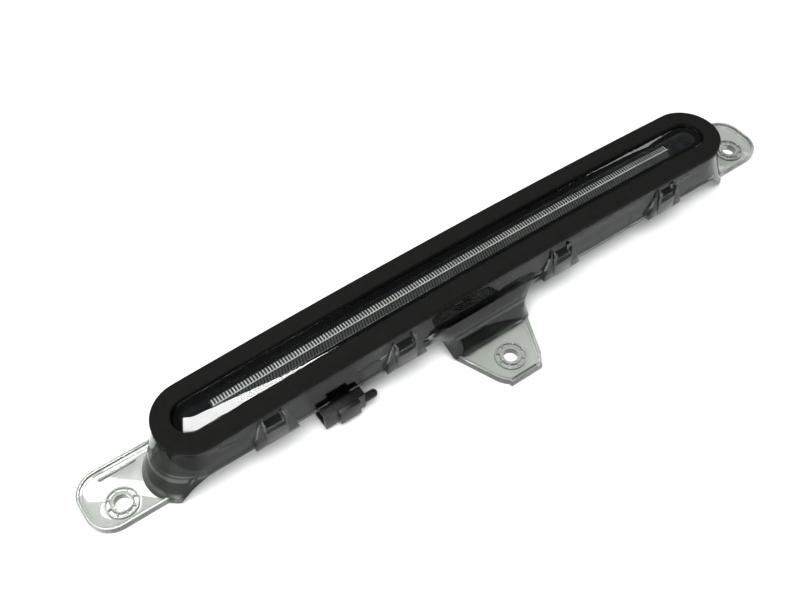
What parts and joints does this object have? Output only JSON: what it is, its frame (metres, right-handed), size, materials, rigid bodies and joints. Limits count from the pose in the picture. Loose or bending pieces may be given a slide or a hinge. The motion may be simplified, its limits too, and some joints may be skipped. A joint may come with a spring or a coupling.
{
  "type": "third brake light",
  "caption": "Long slim high-mount brake lamp with a round-ended foam-framed window, light guide, clear body with mounting tabs and a rear socket.",
  "frame": {"origin": "midway between the two end-tab holes, on the underside of the mounting tabs", "axes": "+X along the lamp, +Z out of the lamp's face along the tab holes, centre tab towards -Y"},
  "size_m": [0.3724, 0.0663, 0.0365],
  "materials": {
    "clear_lens": "clear slightly smoky polycarbonate, gloss",
    "foam": "matt closed-cell foam",
    "adhesive": "thin acrylic tape",
    "sealant": "matt",
    "gloss_black": "gloss black",
    "guide_clear": "clear acrylic with prism teeth",
    "reflector_white": "satin white",
    "led_emitter": "yellow phosphor gel",
    "metal_board": "satin",
    "dark_plastic": "moulded black",
    "housing_black": "moulded black, satin",
    "circuit_board": "green solder mask",
    "component_black": "moulded black",
    "can_metal": "satin",
    "zinc_screw": "zinc plated",
    "wire_red": "insulated wire",
    "terminal_brass": "tinned brass",
    "membrane_white": "matt"
  },
  "bodies": {
    "root": {"lens_housing": "clear_lens", "gasket": "foam", "gasket_adhesive": "adhesive", "seal_bead": "sealant", "inner_bezel": "gloss_black", "light_guide": "guide_clear", "guide_reflector": "reflector_white", "led_left": "led_emitter", "led_right": "led_emitter", "led_board_left": "metal_board", "led_board_right": "metal_board", "led_holder_left": "dark_plastic", "led_holder_right": "dark_plastic", "rear_housing": "housing_black", "driver_board": "circuit_board", "driver_chip": "component_black", "resistors": "component_black", "capacitors": "can_metal", "diodes": "component_black", "board_screws": "zinc_screw", "bezel_screws": "zinc_screw", "wires_left": "wire_red", "wires_right": "wire_red", "connector_shroud": "housing_black", "connector_terminals": "terminal_brass", "connector_seal": "sealant", "vent_body": "dark_plastic", "vent_membrane": "membrane_white"}
  },
  "joints": []
}
